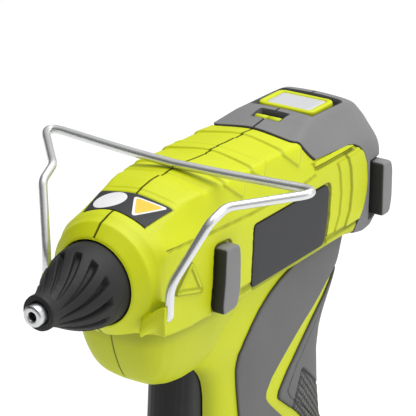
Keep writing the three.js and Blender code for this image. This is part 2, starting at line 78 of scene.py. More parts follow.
def step(x, low, high):
    """0 below low, 1 above high, and an S-curve between them."""
    t = np.clip((np.asarray(x, float) - low) / (high - low), 0, 1)
    return t * t * (3 - 2 * t)


def band(x, low, high, soft):
    """1 between low and high, falling to 0 over the soft distance outside them."""
    return step(x, low - soft, low) * (1 - step(x, high, high + soft))


def placed(name, data):
    """A new object in the scene."""
    made = bpy.data.objects.new(name, data)
    bpy.context.scene.collection.objects.link(made)
    return made


def surface(name, rows, wrap=False, close_first=False, close_last=False, groove=None):
    """A smooth-shaded mesh over rows of points. wrap joins each row's ends, and close_* fills an end row.

    The last argument gives each point a share of painted shade, from 0 to 1, and the colour is darker where
    it is high.
    """
    rows = np.asarray(rows, float)
    count, across = rows.shape[:2]
    verts = (rows.reshape(-1, 3) + SHIFT) / 1000
    index = np.arange(count * across).reshape(count, across)
    nxt = np.roll(index, -1, 1) if wrap else index[:, 1:]
    cur = index if wrap else index[:, :-1]
    quads = np.stack([cur[:-1], nxt[:-1], nxt[1:], cur[1:]], -1).reshape(-1, 4)
    corners = verts[quads]
    normal = np.cross(corners[:, 2] - corners[:, 0], corners[:, 3] - corners[:, 1])
    outward = ((corners.mean(1) - verts.mean(0)) * normal).sum()
    fans = []
    for wanted, line in ((close_first, index[0][::-1]), (close_last, index[-1])):
        if wanted:
            centre = len(verts)
            verts = np.vstack([verts, verts[line].mean(0)])
            around = line if not wrap else np.append(line, line[0])
            fans += [(int(a), int(b), centre) for a, b in zip(around[:-1], around[1:])]
    faces = [tuple(q) for q in quads.tolist()] + fans
    if outward < 0:
        faces = [f[::-1] for f in faces]
    mesh = bpy.data.meshes.new(name)
    mesh.from_pydata(verts.tolist(), [], faces)
    mesh.validate()
    mesh.polygons.foreach_set("use_smooth", np.ones(len(mesh.polygons), bool))
    if groove is not None:
        # The share of painted shade at each point; the fans' centres get none.
        depth = np.zeros(len(verts))
        depth[:count * across] = np.clip(groove, 0, 1).ravel()
        mesh.attributes.new("groove", "FLOAT", "POINT").data.foreach_set("value", depth)
    return placed(name, mesh)


def walls(up, rows):
    """How steep the relief called up is over a grid of points: 0 where it is level, 1 on a wall."""
    across = np.linalg.norm(np.gradient(rows, axis=1), axis=-1)
    along = np.linalg.norm(np.gradient(rows, axis=0), axis=-1)
    slope = np.hypot(np.gradient(up, axis=0) / np.maximum(along, 0.05),
                     np.gradient(up, axis=1) / np.maximum(across, 0.05))
    return np.clip(slope * 0.9 - 0.08, 0, 1)


def fitted(piece, body, slot, paint, *nodes):
    """Gives a piece its finish and its body, and hides the CAD nodes that it stands for."""
    piece.data.materials.append(paint)
    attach(piece, body)
    if nodes:
        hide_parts(*nodes)


def fitted_pair(name, rows, slot, paint, node=None, **how):
    """A left piece of the gun's body from its rows, and the right piece that mirrors it."""
    for side, sign in SIDES:
        piece = surface(f"{side}_{name}", np.asarray(rows) * (sign, 1, 1), **how)
        fitted(piece, "gun", slot, paint, *([f"{side}_{node}"] if node else []))


CLOSED = {"wrap": True, "close_first": True, "close_last": True}


def dial(node, **values):
    """Sets a node's inputs. An underscore in a name stands for a space."""
    for name, value in values.items():
        node.inputs[name.replace("_", " ")].default_value = value


def grain_group():
    """Fine moulded texture: small bumps, plus slow patches for colour and gloss."""
    group = bpy.data.node_groups.new("moulded_grain", "ShaderNodeTree")
    scale_in = group.interface.new_socket("Grain", in_out="INPUT", socket_type="NodeSocketFloat")
    scale_in.default_value = 2500
    group.interface.new_socket("Height", in_out="OUTPUT", socket_type="NodeSocketFloat")
    group.interface.new_socket("Patches", in_out="OUTPUT", socket_type="NodeSocketFloat")
    nodes, links = group.nodes, group.links
    entry, leave = nodes.new("NodeGroupInput"), nodes.new("NodeGroupOutput")
    where = nodes.new("ShaderNodeTexCoord")
    fine, slow = nodes.new("ShaderNodeTexNoise"), nodes.new("ShaderNodeTexNoise")
    dial(fine, Detail=3)
    dial(slow, Scale=45, Detail=4)
    links.new(where.outputs["Object"], fine.inputs["Vector"])
    links.new(where.outputs["Object"], slow.inputs["Vector"])
    links.new(entry.outputs["Grain"], fine.inputs["Scale"])
    links.new(fine.outputs["Fac"], leave.inputs["Height"])
    links.new(slow.outputs["Fac"], leave.inputs["Patches"])
    return group


GRAIN = grain_group()
# Share of its colour that a surface keeps where the painted shade is full.
PAINTED_SHADE_COLOUR = 0.28


def painted(name, colour, rough, metal=0.0, bump=0.25, grain=2500, vary=0.05, coat=0.0, shine=0.5):
    """A material: its colour and gloss drift a little in slow patches, and fine grain gives the bump.

    Where the mesh's attribute of painted shade is high, the colour goes down to 28% of itself.
    """
    made = bpy.data.materials.new(name)
    made.use_nodes = True
    nodes, links = made.node_tree.nodes, made.node_tree.links
    shader = nodes["Principled BSDF"]
    dial(shader, Metallic=metal, Coat_Weight=coat, Specular_IOR_Level=shine, Coat_Roughness=0.15)
    texture = nodes.new("ShaderNodeGroup")
    texture.node_tree = GRAIN
    dial(texture, Grain=grain)
    ramp = nodes.new("ShaderNodeValToRGB")
    for element, place, drift in zip(ramp.color_ramp.elements, (0.3, 0.7), (-vary, vary)):
        element.position = place
        element.color = [min(1, c * (1 + drift)) for c in colour] + [1]
    gloss = nodes.new("ShaderNodeMapRange")
    dial(gloss, To_Min=rough - 0.04, To_Max=rough + 0.04)
    relief = nodes.new("ShaderNodeBump")
    dial(relief, Strength=bump, Distance=0.0001)
    links.new(texture.outputs["Patches"], ramp.inputs["Fac"])
    links.new(texture.outputs["Patches"], gloss.inputs["Value"])
    links.new(texture.outputs["Height"], relief.inputs["Height"])
    # Painted shade: the attribute mixes the colour towards a darker copy of itself.
    groove, shade = nodes.new("ShaderNodeAttribute"), nodes.new("ShaderNodeMix")
    groove.attribute_name = "groove"
    shade.name, shade.data_type = "Shade", "RGBA"
    dial(shade, B=[c * PAINTED_SHADE_COLOUR for c in colour] + [1])
    links.new(groove.outputs["Fac"], shade.inputs["Factor"])
    links.new(ramp.outputs["Color"], shade.inputs["A"])
    links.new(shade.outputs["Result"], shader.inputs["Base Color"])
    links.new(gloss.outputs["Result"], shader.inputs["Roughness"])
    links.new(relief.outputs["Normal"], shader.inputs["Normal"])
    return made


LIME = painted("lime_plastic", (0.60, 0.66, 0.001), 0.50, bump=0.3, grain=2000, vary=0.02, shine=0.4)
BLACK = painted("black_plastic", (0.010, 0.010, 0.011), 0.38, bump=0.2, grain=2200, shine=0.25)


def level_ring(z, front, back, half, square, count=90, nose=None):
    """Half of a level superellipse, on the left side, from its front point to its back point.

    nose is the squareness of the front half, where it differs.
    """
    z, front, back, half, square = (np.asarray(v, float)[..., None] for v in (z, front, back, half, square))
    a = np.linspace(-np.pi / 2, np.pi / 2, count)
    c, s = np.abs(np.cos(a)), np.sin(a)
    if nose is not None:
        square = np.where(s < 0, nose, square)
    r = (c**square + np.abs(s) ** square) ** (-1 / square)
    x = r * c * half
    y = (front + back) / 2 + r * s * (back - front) / 2
    return np.stack(np.broadcast_arrays(x, y, z + 0 * x), -1)


def whole(half_rows):
    """Full rings from left half rings."""
    return np.concatenate([half_rows, half_rows[:, -2:0:-1] * (-1, 1, 1)], 1)


PACK = [  # z, front y, back y, half-width, squareness
    (-152.0, 91.6, 176.4, 28.9, 5), (-151.4, 90.2, 177.8, 30.3, 5), (-149.5, 89.2, 178.8, 31.3, 5),
    (-146.0, 89.0, 179.0, 31.5, 5), (-125.0, 89.0, 179.0, 31.5, 5), (-119.5, 89.3, 178.7, 31.1, 5),
    (-117.6, 90.6, 177.4, 29.6, 5), (-117.3, 91.5, 176.5, 28.7, 5),
]
PACK_MIDDLE = (0, 134)
POCKET_DEPTH, POCKET_GAP = 5.6, 0.7


def bend(before, corner, after, length, count):
    """A curve round a corner c that takes this length of each line: (1 - t)^2 a + 2 t (1 - t) c + t^2 b."""
    to_a, to_b = before - corner, after - corner
    far_a, far_b = np.linalg.norm(to_a), np.linalg.norm(to_b)
    cut = min(length, far_a / 2.05, far_b / 2.05)
    a, b = corner + to_a / far_a * cut, corner + to_b / far_b * cut
    t = np.linspace(0, 1, count)[:, None] if cut else np.zeros((1, 1))
    return (1 - t) ** 2 * a + 2 * t * (1 - t) * corner + t**2 * b


def spaced(line, count=0, spacing=0.5):
    """Points at even distances along a line."""
    along = np.r_[0, np.cumsum(np.linalg.norm(np.diff(line, axis=0), axis=1))]
    even = np.linspace(0, along[-1], count or int(along[-1] / spacing) + 1)
    return np.stack([np.interp(even, along, column) for column in line.T], -1)


def rounded(outline, radius, spacing=0.5):
    """A closed outline with its corners rounded, as evenly spaced points."""
    points = np.asarray(outline, float)
    corners = zip(np.roll(points, 1, 0), points, np.roll(points, -1, 0))
    line = np.vstack([bend(*three, radius, 9) for three in corners])
    return spaced(np.vstack([line, line[:1]]), spacing=spacing)[:-1]


def inward(points):
    """Unit vectors pointing into a closed outline."""
    tangent = np.roll(points, -1, 0) - np.roll(points, 1, 0)
    normal = np.stack([-tangent[:, 1], tangent[:, 0]], -1)
    normal /= np.linalg.norm(normal, axis=1)[:, None]
    nxt = np.roll(points, -1, 0)
    area = (points[:, 0] * nxt[:, 1] - nxt[:, 0] * points[:, 1]).sum()
    return normal * np.sign(area)


def inside(points, outline, soft):
    """1 inside a closed outline and 0 outside it, with an edge this wide."""
    y, z = points[..., 0], points[..., 1]
    shape = np.asarray(outline, float)
    far = np.full(y.shape, 1e9)
    odd = np.zeros(y.shape, bool)
    for (y0, z0), (y1, z1) in zip(shape, np.roll(shape, -1, 0)):
        t = np.clip(((y - y0) * (y1 - y0) + (z - z0) * (z1 - z0)) / ((y1 - y0) ** 2 + (z1 - z0) ** 2), 0, 1)
        far = np.minimum(far, np.hypot(y - y0 - t * (y1 - y0), z - z0 - t * (z1 - z0)))
        cross = (z0 > z) != (z1 > z)
        at = y0 + (z - z0) * (y1 - y0) / np.where(z1 == z0, 1e-9, z1 - z0)
        odd ^= cross & (y < at)
    signed = np.where(odd, far, -far)
    return step(signed, -soft / 2, soft / 2)


LATCH = rounded([(124, -141), (144, -141), (144, -129), (124, -129)], 2.5)


def shrunk(rows, share):
    """Level rings drawn in towards the pack's upright middle line."""
    made = rows.copy()
    made[..., :2] = (rows[..., :2] - PACK_MIDDLE) * share + PACK_MIDDLE
    return made


def pack_rows(levels):
    """Level rings of the pack at these heights, with a pocket in each side for the latch."""
    front, back, half, square = blended(PACK, levels, 0.5).T
    left = level_ring(levels, front, back, half, square, 260)
    pocket = inside(left[..., 1:], LATCH - inward(LATCH) * POCKET_GAP, 0.3) * step(left[..., 0], 20, 26)
    left[..., 0] -= POCKET_DEPTH * pocket
    return whole(left)


# The rims that meet at the split line are drawn in a little, which leaves a fine V round the pack.
lower = np.r_[-152, np.linspace(-151.9, -146, 24), np.linspace(-145, -131.9, 44), -131.5, -131.25, -131.15]
upper = np.r_[-130.85, -130.75, -130.4, np.linspace(-130, -119.6, 22), np.linspace(-119.5, -117.3, 18)]
for name, levels, rim in (("lower", lower, slice(-2, None)), ("upper", upper, slice(2))):
    rows = pack_rows(levels)
    rows[rim] = shrunk(rows[rim], 0.985)
    fitted(surface(f"pack_{name}_shell", rows, **CLOSED), "pack", "black_plastic", BLACK, f"pack_{name}_case")


def slab(outline, profile, axes=(1, 2, 0)):
    """A plate with a closed outline. profile lists (inset, height), and the face shrinks to the middle.

    axes are the two axes of the outline and the axis of the height: at rest Y, Z and X, on the left side.
    """
    normal = inward(outline)
    flats = [(outline + normal * inset, height) for inset, height in profile]
    middle, (last, top) = outline.mean(0), flats[-1]
    flats += [(middle + (last - middle) * share, top) for share in (0.8, 0.6, 0.4, 0.2)]
    rows = []
    for flat, height in flats:
        row = np.zeros((len(flat), 3))
        row[:, axes[0]], row[:, axes[1]] = flat.T
        row[:, axes[2]] = height
        rows.append(row)
    return rows


def edge(depth, radius, height):
    """The profile of a wall that ends in a rounded edge: (inset, height) pairs."""
    turn = np.linspace(0, np.pi / 2, 7)
    return [(0, depth)] + [(radius * (1 - np.cos(a)), height - radius * (1 - np.sin(a))) for a in turn]


for side, sign in SIDES:
    rows = np.array(slab(LATCH, edge(28.6, 0.7, 32.2))) * (sign, 1, 1)
    button = surface(f"{side}_latch_button", rows, **CLOSED)
    fitted(button, f"{side}_latch", "lime_plastic", LIME, f"{side}_latch")

# ---------------------------------------------------------------------------------------------------------
# Housing: two lime mouldings with fine grain that meet on the middle plane and are screwed together.
# The barrel carries beds for the badge, pads and label; below it are the belly, the handle and the foot.
# ---------------------------------------------------------------------------------------------------------
# Barrel stations: y, top, ridge x, ridge z, crease x, crease z, underside.
BARREL = [
    (33, 17.0, 10.0, 14.6, 16.6, 5.0, -16.3), (37, 19.9, 11.2, 16.8, 18.6, 9.0, -17.4),
    (41.4, 22.0, 12.2, 18.5, 20.2, 11.6, -18.4), (44.3, 22.5, 12.6, 19.0, 20.8, 11.4, -19.0),
    (57, 23.8, 15.0, 21.3, 21.5, 10.4, -20.2), (58.2, 24.3, 15.1, 21.6, 21.6, 10.3, -20.2),
    (65.8, 25.8, 16.6, 22.6, 21.6, 9.9, -20.2), (70.6, 26.0, 17.4, 22.9, 21.6, 9.6, -20.2),
    (71.2, 25.7, 17.5, 22.8, 21.6, 9.6, -20.2), (77.8, 25.9, 18.2, 22.9, 21.6, 9.2, -20.2),
    (84.2, 25.9, 18.3, 22.9, 21.6, 8.8, -20.2), (84.8, 25.5, 18.3, 22.7, 21.6, 8.8, -20.2),
    (97.8, 25.2, 18.3, 22.7, 21.6, 8.2, -20.2), (98.6, 25.6, 18.4, 22.8, 21.6, 8.2, -20.2),
    (128, 25.5, 18.5, 22.6, 21.6, 8.0, -20.2), (140, 27.3, 15.0, 26.0, 21.4, 10.5, -20.2),
    (146, 27.6, 13.8, 26.7, 21.3, 11.5, -20.2), (158, 27.6, 13.6, 26.7, 21.2, 11.5, -20.4),
    (167, 27.5, 13.5, 26.5, 21.1, 11.2, -22.6), (171, 27.0, 13.5, 25.9, 21.2, 10.9, -23.2),
    (176, 24.9, 13.4, 23.6, 21.2, 10.2, -22.8), (180, 21.4, 13.1, 20.2, 20.8, 9.2, -21.0),
    (182, 19.0, 12.7, 17.9, 20.3, 8.4, -19.6), (184, 16.2, 12.0, 15.2, 19.2, 7.6, -17.8),
]
LIME_END = [  # y of the lime moulding's rear edge at each height
    (-40, 157.0), (-24, 159.0), (-21, 162.6), (-18, 166.2), (-13, 169.8), (-8, 171.5), (-3, 172.0),
    (3.5, 171.2), (8, 169.2), (11, 166.4), (12.8, 163.0), (13.5, 159.4), (14.5, 137.4), (22.5, 128.1),
    (24, 127.7), (30, 127.6),
]
MOUTH = [(33, 15.6), (36.4, 18.9), (37.4, 19.9), (41.4, 21.6), (50, 23.4)]  # y and radius of the round front
SHARP = 34  # power p of the barrel's section between the mouth and the rear


def barrel_radius(y, a):
    """Distance from the axis to the barrel's skin at station y in direction a, counted up from the side."""
    top, rx, rz, cx, cz, under = np.moveaxis(blended(BARREL, y, 1.6), -1, 0)
    crown = np.hypot(top - rz, rx)
    shoulder = np.hypot(rz - cz, cx - rx)
    crown_a, crown_d = np.arctan2(rx, top - rz), top * rx / crown * 1.008
    shoulder_a = np.arctan2(cx - rx, rz - cz)
    shoulder_d = (rx * (rz - cz) + rz * (cx - rx)) / shoulder * 1.004
    power = 5 + (SHARP - 5) * step(y, 36, 52) - (SHARP - 20) * step(y, 170, 180)
    total = 0
    for towards, distance in ((crown_a, crown_d), (np.pi - crown_a, crown_d), (shoulder_a, shoulder_d),
                              (0 * y, cx), (-np.pi / 2 + 0 * y, -under)):
        reach = np.maximum(np.cos(a - towards), 0) / distance
        total = total + reach**power
    soft = total ** (-1 / power)
    round_r = blended(MOUTH, y, 0.4)[..., 0]
    return soft + (round_r - soft) * (1 - step(y, 36.5, 46))


def skin(y, a, lift=0.0):
    """Points on the barrel's skin, moved outwards by lift."""
    y, a = np.broadcast_arrays(np.asarray(y, float), np.asarray(a, float))
    r = barrel_radius(y, a) + lift
    return np.stack([r * np.cos(a), y, r * np.sin(a)], -1)


# Outlines on the barrel's side, as (y, z).
BADGE = [(96.4, 3.6), (120, 3.6), (144.4, 3.4), (145.4, 1), (144.6, -10), (142, -19), (118, -19.1),
         (94.6, -19.0), (95.4, -8)]
PAD = [(72.6, 3.9), (81.2, 3.4), (81.8, -2), (81.6, -13), (79.4, -19.4), (71.2, -19.8), (70.4, -17),
       (71.8, -8), (72.2, -2)]
TRIANGLE = [(57.6, 4.2), (48.6, -5.0), (64.8, -9.0)]
REAR_RIM = [(-16, 156.6), (-11, 159.6), (-3, 160.6), (5, 159.6), (11.4, 157.0)]  # z and y of the rear step
CREASE = [(46, 11.2), (58, 10.6), (70, 9.8), (97, 8.4), (128, 8.2), (137, 9.4)]  # y and z of a fine groove
MARKS = ((118.2, 22.0, 126.6, 15.2), (98.4, 21.8, 104.6, 17.4), (81.6, 22.2, 91, 15.0))  # from y, z to y, z
RIDGES = ((60, 70.5), (75, 80), (86, 97), (106, 116))  # the y ranges of the bands across the crown
LABEL = (44.3, 57.2)  # the y range of the label's bed


def grown(outline, by):
    """An outline moved outwards."""
    line = rounded(outline, 1.2, 1.0)
    return line - inward(line) * by


def seam(x, low=0.16, high=0.42):
    """1 at the middle plane, where the two halves meet, and 0 a little beside it."""
    return 1 - step(x, low, high)


def lime_relief(points):
    """Height of the moulded detail on the barrel, in millimetres, at points on its left side."""
    x, y, z = np.moveaxis(points, -1, 0)
    flat = points[..., 1:]
    on_side = step(x, 17.5, 19)
    bed = np.maximum(inside(flat, grown(BADGE, 0.3), 0.35), inside(flat - (1.8, 0), grown(BADGE, 0.3), 0.35))
    up = -0.9 * bed * on_side
    up -= 0.9 * inside(flat, grown(PAD, 0.75), 0.5) * on_side
    raised = inside(flat, grown(TRIANGLE, 0.2), 0.5) - 0.55 * inside(flat, grown(TRIANGLE, -1.5), 0.5)
    up += 0.9 * raised * step(x, 15, 17)
    # Belt: a groove along the foot of the side, and a lip below it.
    up -= 0.9 * band(z, -17.6, -17.3, 0.35) * step(y, 84, 90) * on_side
    up += 0.6 * band(z, -20.8, -18.6, 0.4) * step(y, 64, 72)
    # Rear panel: two steps that run parallel to the rear edge, and a groove and a lip along its top.
    line = np.interp(z, *np.transpose(REAR_RIM))
    up += 0.7 * step(y, line, line + 0.7) * band(z, -16.5, 10.6, 0.8) * on_side
    up += 0.5 * step(y, line - 6.5, line - 5.9) * band(z, -16.5, 9.0, 0.8) * on_side * (1 - bed)
    up -= 0.8 * band(z, 11.2, 11.6, 0.4) * band(y, 138, 162, 1.5)
    up += 0.6 * band(z, 12.3, 13.6, 0.4) * band(y, 137, 163, 1.0)
    # A fine groove along the crease between the sloped facet and the side.
    crease = np.interp(y, *np.transpose(CREASE))
    up -= 0.45 * band(z, crease - 0.15, crease + 0.15, 0.35) * band(y, 47, 136, 2.0)
    # Three short slanted marks on the sloped facet, each with a shallow flat behind it.
    for y0, z0, y1, z1 in MARKS:
        along = ((y - y0) * (y1 - y0) + (z - z0) * (z1 - z0)) / ((y1 - y0) ** 2 + (z1 - z0) ** 2)
        off = ((y - y0) * (z0 - z1) + (z - z0) * (y1 - y0)) / np.hypot(y1 - y0, z1 - z0)
        up += 0.8 * band(along, 0.05, 0.95, 0.06) * step(off, -0.25, 0.25) * (1 - step(off, 1, 11))
    # Shallow bed for the label on top, and the seam.
    up -= 0.35 * band(y, *LABEL, 0.3) * (1 - step(x, 15.0, 15.3)) * step(z, 12, 15)
    up -= 1.5 * seam(x)
    # Faint bands across the crown.
    ridges = sum(band(y, low, high, 0.8) for low, high in RIDGES)
    return up + 0.3 * ridges * step(z, 21, 23)


def end_of_lime(a):
    """Station of the lime moulding's rear edge in direction a."""
    z = barrel_radius(np.full(a.shape, 150.0), a) * np.sin(a)
    return np.interp(z, *np.transpose(LIME_END))


# Directions from the underside up to the crown, closer together along the rear panel's top and at the seam.
turn = np.radians(np.unique(np.concatenate([
    np.linspace(-90, 90, 190), np.linspace(29, 37, 40), [89.95, 89.8, 89.6, 89.4, 89.2, 89.0, 88.7, 88.4]])))
FRONT = 33.0  # y of the housing's front rim
last = end_of_lime(turn)
share = np.linspace(0, 1, 330)
stations = FRONT + 0.5 + share[:, None] * (last - 0.3 - FRONT - 0.5)
outer = skin(stations, turn)
up = lime_relief(outer)
# Painted shade: the walls of the relief are painted dark on the side and at the seam, and only faintly on the
# crown, and painted shade lies on the underside too.
shade = walls(up, outer) * (1 - 0.72 * step(outer[..., 2], 12.0, 14.0) * step(outer[..., 0], 0.5, 1.0))
shade = np.maximum(shade, 0.35 * step(-outer[..., 2], 18.9, 20.0))
outer = skin(stations, turn, up)
lip = [(33.25, -0.12), (33.08, -0.3), (33.0, -0.6)]
front = [skin(np.full(turn.shape, y), turn, lift) for y, lift in lip]
mouth = [np.stack([r * np.cos(turn), np.full(turn.shape, y), r * np.sin(turn)], -1)
         for r, y in ((15.3, 33.0), (15.0, 33.15), (14.9, 33.5), (14.9, 36.0), (14.9, 39.0))]
tail = [skin(last + dy, turn, lift) for dy, lift in ((-0.15, -0.1), (-0.05, -0.35), (0, -0.9), (3.5, -1.0))]
rows = np.stack(mouth[::-1] + front[::-1] + list(outer) + tail)
# Painted shade fills the rows that turn in at the rear edge; the mouth and the front rim get none.
shade = np.concatenate([np.zeros((8, len(turn))), shade, np.ones((4, len(turn)))])
fitted_pair("barrel", rows, "lime_plastic", LIME, "housing", groove=shade)

# Belly: sections along the barrel, each a deep U, the lower half of a superellipse whose power is 3.3.
BELLY_POWER = 3.3
BELLY = [  # y, bottom z, half-width
    (41.0, -17.0, 9.0), (41.6, -22.0, 12.0), (43.2, -28.5, 14.6), (46, -35.4, 16.2), (49, -40.4, 17.2),
    (54, -44.0, 18.0), (60, -46.0, 18.4), (66, -46.9, 18.6), (73, -46.9, 18.6), (78, -46.0, 18.6),
    (82, -44.2, 18.4), (86, -41.0, 18.2), (92, -37.5, 18.0), (100, -34, 17.8),
]
stations = 41.0 + 59.0 * np.linspace(0, 1, 170) ** 1.5
depth, width = blended(BELLY, stations, 3.0).T
a = np.append(np.linspace(0, 1.53, 96), [1.545, 1.552, 1.558, 1.562, 1.566, np.pi / 2])
shape = (np.cos(a) ** BELLY_POWER + np.sin(a) ** BELLY_POWER) ** (-1 / BELLY_POWER)
x = width[:, None] * shape * np.cos(a)
z = -12 + (depth[:, None] + 12) * shape * np.sin(a)
rows = np.stack([x, stations[:, None] + 0 * x, z + 0.9 * seam(x, 0.16, 0.45)], -1)
# Painted shade: at the seam, under the barrel's lower edge, and a little over the whole belly.
shade = np.maximum(seam(x, 0.2, 0.5), 0.42 * step(rows[..., 2], -26, -19.5) + 0.16)
fitted_pair("belly", rows, "lime_plastic", LIME, groove=shade)

# Handle and foot: level rings. Under the belly the front flares out into a fillet.
HANDLE = [  # z, front y, back y, half-width, squareness of the back half
    (-117.0, 90.6, 177.4, 28.4, 4.5), (-116.4, 90.1, 177.9, 29.0, 4.5), (-112, 89.6, 178.2, 29.2, 4.4),
    (-109.4, 89.4, 176.4, 27.6, 4.1), (-106.5, 88.2, 170.5, 21.0, 3.4), (-103, 86.2, 165.6, 16.6, 2.9),
    (-98, 82.6, 163.6, 15.2, 2.8), (-84, 80.4, 162.4, 14.8, 2.7), (-68, 80.0, 161.5, 14.8, 2.7),
    (-59, 80.0, 163, 15.1, 2.7), (-54, 79.4, 165, 15.5, 2.7), (-50, 77.8, 167, 16.0, 2.7),
    (-46, 74.6, 169.0, 16.8, 2.7), (-42, 70.6, 171, 17.5, 2.7), (-36, 66, 174, 17.9, 2.7),
    (-26, 66, 177.5, 17.9, 2.8), (-10, 66, 178, 17.9, 2.8),
]
HANDLE_NOSE = 3.4  # squareness of the front half
SLOT = (9.2, 107.0, -97.5, -40.0)  # half-width, y of the back, lowest and highest of the trigger's slot


def handle_ring(z, count):
    """Half rings of the handle at heights z."""
    front, back, half, square = blended(HANDLE, z, 5.0).T
    return level_ring(z, front, back, half, square, count, nose=HANDLE_NOSE)


levels = np.r_[np.linspace(-12, -40, 60), np.linspace(-40.01, -97.5, 130), np.linspace(-97.51, -116.6, 60),
               -116.8, -116.95, -117.0]
AROUND, WALL = 150, 12  # points of a ring, and of each wall of the slot
rings = handle_ring(levels, AROUND)
half, deep, low, high = SLOT
slotted = (levels < high) & (levels >= low)
rows = np.zeros((len(levels), 2 * WALL + AROUND, 3))
for i, ring in enumerate(rings):
    front_x, front_y = ring[:AROUND // 2, :2].T
    start = np.interp(half, front_x, front_y)
    first = np.argmax(ring[:, 0] > half)
    if slotted[i]:
        wall = [(x, deep) for x in np.linspace(0, half, WALL)]
        wall += [(half, y) for y in np.linspace(deep, start, WALL)]
    else:
        wall = [(x, np.interp(x, front_x, front_y)) for x in np.linspace(0, half, 2 * WALL)]
    rows[i, :, :2] = np.vstack([wall, [wall[-1]] * first, ring[first:, :2]])
    rows[i, :, 2] = ring[0, 2]
rows[..., 1] += 0.5 * seam(rows[..., 0], 0.1, 0.45) * np.where(rows[..., 1] < 120, 1, -1)
rows = np.concatenate([rows, shrunk(rows[-1:], 0.02)])
# Painted shade on the front of the handle, beside the trigger.
shade = 0.5 * (1 - step(rows[..., 0], 9.5, 14.0))
shade = shade * step(-rows[..., 1], -96, -84) * step(-rows[..., 2], 42, 50)
fitted_pair("handle", rows, "lime_plastic", LIME, groove=shade)

# Ears of the stand's clip: a thin one behind the wire, one in front whose foot fades into the barrel, and a
# floor between them.
EARS = {  # the outline at the barrel, the outline at the outer face, and the x of that face
    "front": ([(34.4, -14.6), (35.6, -10.5), (38.5, -7.0), (38.6, -16.2), (35.2, -16.4)],
              [(36.9, -8), (37.4, -4.2), (38.5, -4.6), (38.6, -14.6), (37.2, -15.0)], 25.4),
    "rear": ([(41.6, -3.8), (43.2, -4.6), (44.6, -8), (44.0, -12.2), (41.6, -12.4)],
             [(41.8, -4.6), (42.6, -5.0), (43.3, -8), (42.8, -10.8), (41.8, -11.0)], 24.6),
    "floor": ([(37.4, -16.4), (37.6, -12.6), (42.4, -12.4), (44.6, -12.8), (44.4, -16.0)],
              [(37.8, -15.2), (38.0, -12.9), (41.4, -12.7), (42.4, -13.0), (42.0, -14.8)], 23.0),
}


LUG_ROOT, LUG_EDGE = 17, 0.4  # x of the root, and the radius of the outer edge


def lug(foot, face, reach):
    """A tapered lug: its outline goes from foot to face as (1 - t) ** 1.5, and its outer edge is rounded."""
    lines = []
    for points in (foot, face):
        line = rounded(points, 1.1, 0.03)
        lines.append(line[np.linspace(0, len(line), 90, endpoint=False).astype(int)])
    rows = []
    for t in np.linspace(0, 1, 24):
        flat = lines[1] + (lines[0] - lines[1]) * (1 - t) ** 1.5
        x = LUG_ROOT + (reach - LUG_EDGE - LUG_ROOT) * t
        rows.append(np.stack([np.full(90, x), *flat.T], -1))
    for a in np.linspace(0.3, np.pi / 2, 5):
        flat = lines[1] + inward(lines[1]) * LUG_EDGE * (1 - np.cos(a))
        rows.append(np.stack([np.full(90, reach - LUG_EDGE * (1 - np.sin(a))), *flat.T], -1))
    return rows


for name, (foot, face, reach) in EARS.items():
    fitted_pair(f"clip_{name}", lug(foot, face, reach), "lime_plastic", LIME, **CLOSED)

# ---------------------------------------------------------------------------------------------------------
# Rear cover: two soft-touch grey mouldings, 2.6 mm thick, that wrap the back of the barrel.
# A slot in the top holds two short lime bars, and a well behind it holds the power button.
# ---------------------------------------------------------------------------------------------------------
GREY = painted("grey_rubber", (0.215, 0.215, 0.218), 0.68, bump=0.5, grain=1700, vary=0.04, shine=0.2)
WELL = (12.9, 146.4, 166.8)  # half-width and y range of the button's well
HANG = (5.3, 136.3, 142.4)  # the same for the slot of the hanging bars
COVER_HEIGHT, WELL_DEPTH, HANG_DEPTH, BED_DEPTH = 0.7, 3.4, 9.0, 2.2


def cover_relief(points):
    """Height of the rear cover's skin above the barrel's form."""
    x, y, z = np.moveaxis(points, -1, 0)
    top = step(z, 16, 20)
    well = (1 - step(x, WELL[0] - 0.35, WELL[0])) * band(y, WELL[1], WELL[2], 0.35) * top
    hang = (1 - step(x, HANG[0], HANG[0] + 0.4)) * band(y, HANG[1], HANG[2], 0.35) * top
    bed = band(z, -18.8, 2.8, 0.4) * step(y, 174.0, 174.8) * step(x, 16, 17)
    return COVER_HEIGHT - WELL_DEPTH * well - HANG_DEPTH * hang - 0.9 * seam(x) - BED_DEPTH * bed


start = end_of_lime(turn) + 0.3
share = np.linspace(0, 1, 150)
stations = start + 0.5 + share[:, None] * (182.6 - start - 0.5)
outer = skin(stations, turn)
up = cover_relief(outer)
# Painted shade on the walls of the relief, and deep in the well and the slot.
shade = np.maximum(walls(up, outer), step(-up, 3.2, 6.0))
outer = skin(stations, turn, up)
lip = [skin(start + dy, turn, lift) for dy, lift in ((0, -1.2), (0, 0.2), (0.08, 0.45), (0.25, 0.62))]
back = [outer[-1] * (scale, 0, scale) + (0, y, 0)
        for scale, y in ((0.995, 182.95), (0.98, 183.3), (0.955, 183.6), (0.92, 183.8), (0.87, 183.9))]
for r, y in ((13.4, 183.9), (12.6, 183.75), (12.1, 183.3), (12.0, 182.5), (12.0, 177.0)):
    back.append(np.stack([r * np.cos(turn), np.full(turn.shape, y), r * np.sin(turn)], -1))
rows = np.stack(lip + list(outer) + back)
# Painted shade on the lip rows at the front edge; none on the back.
shade = np.concatenate([np.ones((4, len(turn))), shade, np.zeros((len(back), len(turn)))])
fitted_pair("cover", rows, "grey_rubber", GREY, "rear_cover", groove=shade)

BAR_Y, BAR_Z = 138.3, 25.6
a = np.linspace(0, 2 * np.pi, 24, endpoint=False)
rows = [np.stack([np.full(24, x), BAR_Y + r * np.cos(a), BAR_Z + r * np.sin(a)], -1)
        for x, r in ((0.15, 1.2), (0.35, 1.5), (5.0, 1.5), (5.4, 1.1))]
fitted_pair("bar", rows, "lime_plastic", LIME, "hang_bar", **CLOSED)

